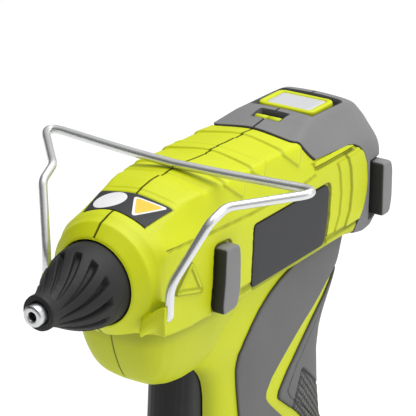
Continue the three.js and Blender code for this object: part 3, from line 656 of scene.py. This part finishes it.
# ---------------------------------------------------------------------------------------------------------
# Grips: grey rubber moulded over the handle, 1.1 mm proud, parted by a lime stripe like a chevron.
# The palm grip has a patch of small diamonds.
# ---------------------------------------------------------------------------------------------------------
FRONT_EDGE = [(-104, 101.0), (-96, 99.7), (-84, 98.5), (-71, 97.7), (-60, 96.1), (-52, 94.9), (-46, 94.7),
              (-41, 96.8), (-36, 100.6), (-32, 105.0), (-28, 111.2), (-25, 118), (-22.6, 126), (-21.2, 136),
              (-20.4, 148)]
STRIPE_FRONT = [(-104, 147.2), (-86, 128.6), (-76, 118.2), (-73, 115.4), (-71.0, 114.2), (-68.6, 114.4),
                (-64, 117.8), (-48, 139.0), (-41.5, 149.0), (-39, 153.4), (-36.5, 161.0), (-33, 172)]
STRIPE_BACK = [(-104, 155.6), (-86, 136.2), (-77.5, 125.8), (-75.4, 123.2), (-74, 122.8), (-72, 123.6),
               (-66, 129.2), (-48, 150.2), (-42.5, 157.6), (-40, 162.6), (-37, 172)]


GRIP_HEIGHT, GRIP_ROOT = 1.1, -0.6  # how far a grip stands proud, and how deep its edge is sunk


def grip(z_from, z_to, front_edge, back_edge, relief=None):
    """A patch of skin on the handle between two edges given as (z, y). None runs it to the back seam."""
    levels = np.linspace(z_from, z_to, 190)
    steps = np.linspace(0, 1, 400)
    share = np.r_[0, 0, 0.006, 0.016, np.linspace(0.034, 0.966, 120), 0.984, 0.994, 1, 1]
    rim = np.array([GRIP_ROOT, 0.15, 0.75, 1.0])
    lifts = np.r_[rim, np.full(120, GRIP_HEIGHT), rim[::-1]]
    if back_edge is None:
        lifts[-2:] = GRIP_HEIGHT
    rows, shade = [], []
    for i, (z, ring) in enumerate(zip(levels, handle_ring(levels, 400))):
        low = np.interp(np.interp(z, *np.array(front_edge).T), ring[:, 1], steps)
        high = 1.0
        if back_edge is not None:
            high = np.interp(np.interp(z, *np.array(back_edge).T), ring[:, 1], steps)
        edge_in = min(1, (min(i, len(levels) - 1 - i) / 3))
        at = low + (high - low) * share
        lift = np.where(lifts > 0, lifts * edge_in + GRIP_ROOT * (1 - edge_in), lifts)
        front, back, half, _ = blended(HANDLE, [z], 5.0)[0]
        line = np.stack([np.interp(at, steps, ring[:, k]) for k in range(3)], -1)
        away = line - (0, (front + back) / 2, z)
        away = away / np.array([half**2, ((back - front) / 2) ** 2, 1]) * (1, 1, 0)
        away /= np.linalg.norm(away, axis=1)[:, None]
        rows.append(line + away * lift[:, None])
        # Painted shade along the grip's edges, where it sinks into the handle.
        shade.append(1 - step(lift, 0.3, GRIP_HEIGHT - 0.01))
    rows, shade = np.array(rows), np.array(shade)
    if relief is not None:
        up = relief(rows)
        # Painted shade in the sunk parts of the relief.
        shade = np.maximum(shade, step(-up, 0.1, 0.5))
        rows = rows + np.stack([up, 0 * up, 0 * up], -1)
    return rows, shade


PATCH = [(139.5, -69.0), (158, -84), (170, -84), (170, -104), (150, -104), (131.5, -84.4)]  # (y, z)
PALM_LINE = [(-104, 161), (-86, 141.4), (-77.5, 130.6), (-74, 128.6), (-66, 134.8), (-48, 155.8), (-40, 168)]


def diamonds(points):
    """Height of the palm grip's relief: a framed patch of small diamonds, and a fine line behind the edge.

    The diamonds are what two families of straight grooves leave, where sin(pi n) is near 1 or -1 and n counts
    the grooves along y and z.
    """
    y, z = np.moveaxis(points[..., 1:], -1, 0)
    within = [inside(points[..., 1:], grown(PATCH, by), 0.5) for by in (0.3, -0.7, -0.8)]
    waves = [np.abs(np.sin(np.pi * n)) for n in ((y + z * 0.9) / 3.0, (y - z * 0.55) / 2.7)]
    cut = np.maximum(*(step(wave, 0.8, 0.97) for wave in waves))
    rim = np.interp(z, *np.array(PALM_LINE).T)
    line = band(y, rim - 0.2, rim + 0.2, 0.4)
    return -0.45 * within[2] * cut - 0.6 * np.maximum(within[0] - within[1], 0) - 0.35 * line


GRIP_RUBBER = painted("grip_rubber", (0.150, 0.150, 0.153), 0.7, bump=0.6, grain=1500, vary=0.06, shine=0.2)
rows, shade = grip(-103.4, -20.6, FRONT_EDGE, STRIPE_FRONT)
fitted_pair("grip", rows, "grey_rubber", GRIP_RUBBER, "front_grip", groove=shade)
rows, shade = grip(-103.4, -38.0, STRIPE_BACK, None, diamonds)
fitted_pair("palm", rows, "grey_rubber", GRIP_RUBBER, "palm_grip", groove=shade)

# ---------------------------------------------------------------------------------------------------------
# Side pads and rear bumpers: grey rubber blocks that stand proud so that the gun can lie on its side.
# They are moulded in pairs and held in beds in the housing and the rear cover.
# ---------------------------------------------------------------------------------------------------------
def front_shaded_rubber(name, dark, light, rough):
    """Rubber with painted shade on the walls that face the nozzle: the colour follows the surface's own -Y
    normal.
    """
    made = painted(name, light, rough, bump=0.5, grain=1500, vary=0.04, shine=0.2)
    nodes, links = made.node_tree.nodes, made.node_tree.links
    where, split = nodes.new("ShaderNodeTexCoord"), nodes.new("ShaderNodeSeparateXYZ")
    facing, blend = nodes.new("ShaderNodeMapRange"), nodes.new("ShaderNodeMix")
    blend.data_type = "RGBA"
    dial(facing, From_Min=-0.45, From_Max=-0.75)
    links.new(where.outputs["Normal"], split.inputs["Vector"])
    links.new(split.outputs["Y"], facing.inputs["Value"])
    links.new(facing.outputs["Result"], blend.inputs["Factor"])
    links.new(nodes["Shade"].outputs["Result"], blend.inputs["A"])
    dial(blend, B=(*dark, 1))
    links.new(blend.outputs["Result"], nodes["Principled BSDF"].inputs["Base Color"])
    return made


# Painted shade on the pads' and bumpers' walls that face the nozzle.
PAD_RUBBER = front_shaded_rubber("pad_rubber", (0.035, 0.035, 0.036), (0.235, 0.235, 0.238), 0.66)
BUMPER = [(175.8, 2.6), (182.0, 2.6), (183.4, -1), (183.4, -13), (181.8, -18.6), (175.8, -18.6)]  # (y, z)
rows = slab(rounded(PAD, 2.2, 0.4), edge(20.4, 1.0, 26.0))
fitted_pair("pad", rows, "grey_rubber", PAD_RUBBER, "side_pad", **CLOSED)
rows = slab(rounded(BUMPER, 2.0, 0.4), edge(13.5, 1.2, 26.6))
fitted_pair("bumper", rows, "grey_rubber", PAD_RUBBER, "rear_bumper", **CLOSED)

# ---------------------------------------------------------------------------------------------------------
# Badges and label: thin dark plastic plates, glued into shallow beds in the housing.
# The badges are plain, and the label carries only a white disc and an amber triangle.
# ---------------------------------------------------------------------------------------------------------
DARK = painted("dark_plastic", (0.040, 0.041, 0.044), 0.5, bump=0.12, grain=3000, vary=0.05, shine=0.2)
rows = slab(rounded(BADGE, 1.6, 0.5), edge(20.6, 0.25, 21.75))
fitted_pair("plate", rows, "dark_plastic", DARK, "badge", **CLOSED)

# The label bends over the crown, and its front and rear edges are turned down by half a millimetre.
a = np.linspace(np.pi / 2, np.radians(35), 200)
rows = []
for y in np.linspace(LABEL[0] + 0.25, LABEL[1] - 0.25, 50):
    x = np.linspace(-1, 1, 121) * np.interp(y, [44.3, 57], [12.5, 14.8])
    line = skin(np.full(a.shape, y), a)
    z = np.interp(np.abs(x), line[:, 0], line[:, 2]) + 0.05
    rows.append(np.stack([x, np.full(x.shape, y), z], -1))
rows = np.array(rows)
rows = np.concatenate([rows[:1] - (0, 0, 0.5), rows, rows[-1:] - (0, 0, 0.5)])
fitted(surface("label_plate", rows), "gun", "dark_plastic", DARK, "top_label")


def printed_patch(name, outline, lift, paint):
    """A thin patch on the crown: its (x, y) outline shrinks to its middle, and each point lies on the skin.

    A point's direction is found by steps: the radius there gives the height over x, and so the direction.
    """
    middle = outline.mean(0)
    rows = []
    for share in (1.0, 1.0, 0.97, 0.8, 0.6, 0.4, 0.2):
        x, y = (middle + (outline - middle) * share).T
        a = np.arctan2(24.5, x)
        for _ in range(6):
            a = np.arctan2(np.sqrt(np.maximum(barrel_radius(y, a) ** 2 - x**2, 1)), x)
        rows.append(np.stack([x, y, barrel_radius(y, a) * np.sin(a) + lift], -1))
    rows[0][:, 2] -= lift + 0.1
    fitted(surface(name, rows, wrap=True, close_last=True), "gun", "dark_plastic", paint)


WHITE_INK = painted("white_ink", (0.78, 0.78, 0.79), 0.5, bump=0.05, shine=0.2)
AMBER_INK = painted("amber_ink", (0.80, 0.55, 0.07), 0.5, bump=0.05, shine=0.2)
a = np.linspace(0, 2 * np.pi, 96, endpoint=False)
disc = np.stack([-6.0 + 5.7 * np.cos(a), 50.7 + 5.7 * np.sin(a)], -1)
printed_patch("label_disc", disc, 0.11, WHITE_INK)
triangle_edge = rounded([(0.6, 55.2), (6.6, 45.2), (13.8, 56.2)], 1.6, 0.2)
printed_patch("label_triangle_edge", triangle_edge, 0.11, WHITE_INK)
printed_patch("label_triangle", rounded([(2.0, 54.6), (6.8, 46.8), (12.4, 55.3)], 1.2, 0.2), 0.16, AMBER_INK)

# ---------------------------------------------------------------------------------------------------------
# Power button: a lime plastic frame, 24 by 17 mm, round a milky lens that lights up.
# The lens is pressed into the frame, and the two ride on one stem in the well of the rear cover.
# ---------------------------------------------------------------------------------------------------------
LENS = painted("milky_lens", (0.60, 0.61, 0.63), 0.25, bump=0.02, vary=0.02, coat=0.4)
outline = rounded([(-11.9, 148.2), (11.9, 148.2), (11.9, 165.2), (-11.9, 165.2)], 3.6, 0.4)
profile = [(0, 23.6), (0, 26.9), (0.12, 27.3), (0.4, 27.6), (0.9, 27.75), (1.7, 27.75), (2.1, 27.6),
           (2.35, 27.3), (2.45, 26.7), (2.8, 26.6)]
rows = slab(outline, profile, axes=(0, 1, 2))
fitted(surface("button_frame", rows, **CLOSED), "button", "lime_plastic", LIME, "power_button")
outline = rounded([(-9.3, 151.0), (9.3, 151.0), (9.3, 163.2), (-9.3, 163.2)], 1.6, 0.4)
rows = slab(outline, [(0, 26.7), (0, 27.1), (0.15, 27.3), (0.5, 27.4)], axes=(0, 1, 2))
fitted(surface("button_window", rows, **CLOSED), "button", "lens", LENS, "button_lens")

# ---------------------------------------------------------------------------------------------------------
# Hot end: a turned aluminium nozzle in a black silicone cone with twelve spiral flutes.
# The cone's flange sits in a groove behind the mouth of the housing.
# ---------------------------------------------------------------------------------------------------------
ALUMINIUM = painted("turned_aluminium", (0.62, 0.63, 0.64), 0.33, metal=1.0, bump=0.3, grain=3000)
SILICONE = painted("black_silicone", (0.017, 0.017, 0.018), 0.6, bump=1.0, grain=900, vary=0.3, shine=0.35)


def turned(profile, count):
    """A profile of (radius, y) points turned round the glue stick's axis."""
    a = np.linspace(0, 2 * np.pi, count, endpoint=False)
    r, y = np.asarray(profile, float).T
    return np.stack([r[:, None] * np.cos(a), y[:, None] + 0 * a, r[:, None] * np.sin(a)], -1)


NOZZLE = [(2.6, 6), (1.6, 5), (1.6, 0.5), (1.75, 0.15), (2.0, 0), (2.9, 0), (3.3, 0.15), (3.55, 0.4),
          (3.7, 0.8), (3.7, 4), (3.7, 11), (5.2, 11.3), (5.2, 15), (4.4, 15.2), (4.4, 21), (2.6, 21)]
rows = turned(NOZZLE, 96)
rows = np.concatenate([rows, rows[:1]])
fitted(surface("nozzle_tip", rows, wrap=True), "gun", "aluminium", ALUMINIUM, "nozzle")

FLUTES, FLUTE_FRONT, FLUTE_REAR, TWIST = 12, 6.0, 25.0, 0.95  # TWIST is the turn of a flute in radians
CONE = [(3.3, 5.9), (4.0, 6.2), (5.4, 6.15), (6.6, 5.9), (9, 6.6), (12, 8.0), (15, 9.7), (18, 11.2),
        (21, 12.5), (24, 13.5), (28, 14.35), (32, 14.5), (36.6, 14.5)]  # (y, radius)
FLUTE_WIDTH = [(6, 0.25), (10, 0.55), (16, 1.05), (22, 1.5), (24.5, 1.5)]  # (y, half-width)
FLUTE_DEPTH = [(6.5, 0.0), (9, 0.7), (14, 1.5), (20, 2.3), (24, 2.6)]  # (y, depth)


def cone_rows(y, a):
    """The cone at stations y and directions a: the radius of its profile, less the depth of a flute.

    A flute's middle line turns back by TWIST x (1 - t^0.8), t being its share of the way to the rear. A point
    is in it when its distance round the cone is under the half-width. The floor rises in a quarter circle
    at the rear end.
    """
    y = y[:, None]
    radius, half, depth = (blended(table, y[:, 0], width) for table, width in (
        (CONE, 1.6), (FLUTE_WIDTH, 1), (FLUTE_DEPTH, 1)))
    twist = TWIST * (1 - np.clip((y - FLUTE_FRONT) / (FLUTE_REAR - FLUTE_FRONT), 0, 1) ** 0.8)
    phase = (a + twist) * FLUTES / (2 * np.pi)
    across = (phase - np.round(phase)) / FLUTES * 2 * np.pi * radius
    end = np.sqrt(1 - np.clip((y - FLUTE_REAR + 1.4) / 1.4, 0, 1) ** 2)
    radius = radius - 0.95 * depth * end * (1 - step(np.abs(across) / half, 0.6, 1.15))
    return np.stack([radius * np.cos(a), y + 0 * radius, radius * np.sin(a)], -1)


AROUND = 576
lip = turned([(3.9, 9.0), (3.9, 4.0), (4.1, 3.5), (4.5, 3.3), (5.3, 3.3), (5.7, 3.3)], AROUND)
flutes = cone_rows(np.linspace(3.35, 36.6, 160), np.linspace(0, 2 * np.pi, AROUND, endpoint=False))
flange = turned([(14.5, 36.8), (15.8, 36.85), (15.8, 38.4), (12.4, 38.5)], AROUND)
rows = np.concatenate([lip, flutes, flange])
fitted(surface("fluted_cone", rows, wrap=True), "gun", "black_silicone", SILICONE, "nozzle_cone")

# ---------------------------------------------------------------------------------------------------------
# Trigger: a black moulding, 17.6 mm wide, that turns on a steel pin inside the belly.
# Two arms reach up to the feed carriage, which pushes the glue stick forward.
# ---------------------------------------------------------------------------------------------------------
TRIGGER = [  # z, front y, back y, half-width
    (-93.6, 75.0, 82.5, 5.0), (-93.2, 73.1, 84.9, 6.8), (-91.6, 70.9, 86.6, 8.2), (-88, 69.3, 87.3, 8.8),
    (-82, 68.7, 87.5, 8.8), (-74, 69.1, 87.3, 8.8), (-66, 69.9, 87.3, 8.8), (-58, 70.4, 87.6, 8.8),
    (-50, 71.0, 88.2, 8.8), (-44, 71.8, 90.0, 8.8), (-38, 73, 93, 8.8), (-32, 78, 98, 8.8),
]
levels = np.linspace(-93.6, -32, 190)
front, back, half = blended(TRIGGER, levels, 1.6).T
rows = whole(level_ring(levels, front, back, half, np.full(levels.shape, 6.0), nose=2.5))
fitted(surface("trigger_blade", rows, **CLOSED), "trigger", "black_plastic", BLACK)

# ---------------------------------------------------------------------------------------------------------
# Wire stand: one bright 3.1 mm steel wire, bent so that it springs into the clip and folds over the nozzle.
# Its two ends turn in the clip on the barrel.
# ---------------------------------------------------------------------------------------------------------
STEEL = painted("bright_steel", (0.74, 0.75, 0.76), 0.26, metal=0.75, bump=0.05, grain=1200, vary=0.03)
WIRE_RADIUS = 1.55
HALF_WIRE = [  # x, y, z and the length taken by the bend
    (13.5, 40.0, -9.5, 0), (25.0, 40.0, -9.5, 2.2), (25.2, 40.4, 2.0, 4), (34.0, 50.4, 23.0, 2.2),
    (35.2, 58.0, 26.2, 2.4), (58.0, 82.2, 28.7, 10), (20.0, 79.2, 27.9, 16),
]


def tube(path, radius, count):
    """Rings round a path.

    Each ring starts in the direction in which the ring before starts, less the part of it along the path.
    """
    tangent = np.gradient(path, axis=0)
    tangent /= np.linalg.norm(tangent, axis=1)[:, None]
    normal = np.zeros_like(path)
    normal[0] = (0, 0, 1)
    for i in range(1, len(path)):
        held = normal[i - 1] - tangent[i] * (normal[i - 1] @ tangent[i])
        normal[i] = held / np.linalg.norm(held)
    a = np.linspace(0, 2 * np.pi, count, endpoint=False)[:, None]
    other = np.cross(tangent, normal)[:, None]
    return path[:, None] + radius * (np.cos(a) * normal[:, None] + np.sin(a) * other)


half = np.array(HALF_WIRE)
wire = np.vstack([half * (-1, 1, 1, 1), [(0, 78.6, 27.6, 0)], half[::-1]])
points, lengths = wire[:, :3], wire[:, 3]
bends = [bend(*three, 20) for three in zip(points, points[1:], points[2:], lengths[1:])]
path = spaced(np.vstack([points[:1], *bends, points[-1:]]), 700)
rows = tube(path, WIRE_RADIUS, 28)
fitted(surface("stand_wire", rows, **CLOSED), "stand", "steel", STEEL, "wire_stand")

# ---------------------------------------------------------------------------------------------------------
# Pieces inside and at the back: heater, feed, guide tube, leads, board, cells and screws.
# They keep their solids, and each gets the finish that its slot in the record asks for.
# ---------------------------------------------------------------------------------------------------------
INNER = {
    "lime_plastic": LIME, "grey_rubber": GREY, "dark_plastic": DARK, "black_plastic": BLACK,
    "black_silicone": SILICONE, "steel": STEEL, "aluminium": ALUMINIUM, "lens": LENS,
    "red_silicone": painted("red_silicone", (0.42, 0.07, 0.03), 0.6, bump=0.2),
    "ceramic": painted("heat_proof_ceramic", (0.75, 0.72, 0.63), 0.6, bump=0.3),
    "circuit_board": painted("green_board", (0.02, 0.17, 0.06), 0.35, bump=0.1),
    "red_wire": painted("red_wire", (0.35, 0.02, 0.02), 0.4, bump=0.05),
    "black_wire": painted("black_wire", (0.02, 0.02, 0.02), 0.4, bump=0.05),
    "cells": painted("cell_sleeve", (0.06, 0.16, 0.42), 0.3, bump=0.05),
}
slots = {entry["node"]: entry["material_slot"] for entry in frame["record"]["subparts"]}
for name, node in frame["nodes"].items():
    node.data.materials.clear()
    node.data.materials.append(INNER[slots[name]])

# ---------------------------------------------------------------------------------------------------------
# Stage: a plain pale floor, soft studio light and a camera a little above and to the left of the nozzle.
# None of it is a piece of the gun.
# ---------------------------------------------------------------------------------------------------------
mesh = bpy.data.meshes.new("floor")
mesh.from_pydata([(-6, -6, 0), (6, -6, 0), (6, 6, 0), (-6, 6, 0)], [], [(0, 1, 2, 3)])
floor = placed("floor", mesh)
pale = painted("pale_floor", (0.80, 0.80, 0.80), 0.8, bump=0.0, vary=0.004)
dial(pale.node_tree.nodes["Principled BSDF"], Emission_Color=(1, 1, 1, 1), Emission_Strength=0.2)
floor.data.materials.append(pale)


def lamp(name, at, size, power, towards=(0, 0, 0.12)):
    """A square soft light."""
    data = bpy.data.lights.new(name, "AREA")
    data.size, data.energy = size, power
    made = placed(name, data)
    made.location = at
    made.rotation_euler = (Vector(towards) - Vector(at)).to_track_quat("-Z", "Y").to_euler()


lamp("over", (0.25, 0.25, 1.5), 1.3, 17.5)
lamp("side", (1.5, 0.3, 0.6), 0.8, 1.8)
world = bpy.data.worlds.new("studio")
world.use_nodes = True
nodes, links = world.node_tree.nodes, world.node_tree.links
where, towards, sky = (nodes.new(f"ShaderNode{kind}") for kind in ("TexCoord", "VectorMath", "ValToRGB"))
towards.operation = "DOT_PRODUCT"
towards.inputs[1].default_value = (0.42, 0.40, 0.81)
links.new(where.outputs["Generated"], towards.inputs[0])
links.new(towards.outputs["Value"], sky.inputs["Fac"])
links.new(sky.outputs["Color"], nodes["Background"].inputs["Color"])
dark, bright = sky.color_ramp.elements
dark.position, dark.color = 0.0, (0.06, 0.06, 0.062, 1)
bright.position, bright.color = 0.85, (1, 1, 1, 1)
dial(nodes["Background"], Strength=0.9)
bpy.context.scene.world = world
bpy.context.scene.view_settings.view_transform = "Standard"

camera = placed("camera", bpy.data.cameras.new("camera"))
camera.location = (0.4226, -0.617, 0.457)
aim = Vector((0.002, 0.0047, 0.1578)) - camera.location
camera.rotation_euler = aim.to_track_quat("-Z", "Y").to_euler()
camera.data.lens = 201.4
camera.data.sensor_width = 36
camera.data.clip_start, camera.data.clip_end = 0.05, 30
bpy.context.scene.camera = camera
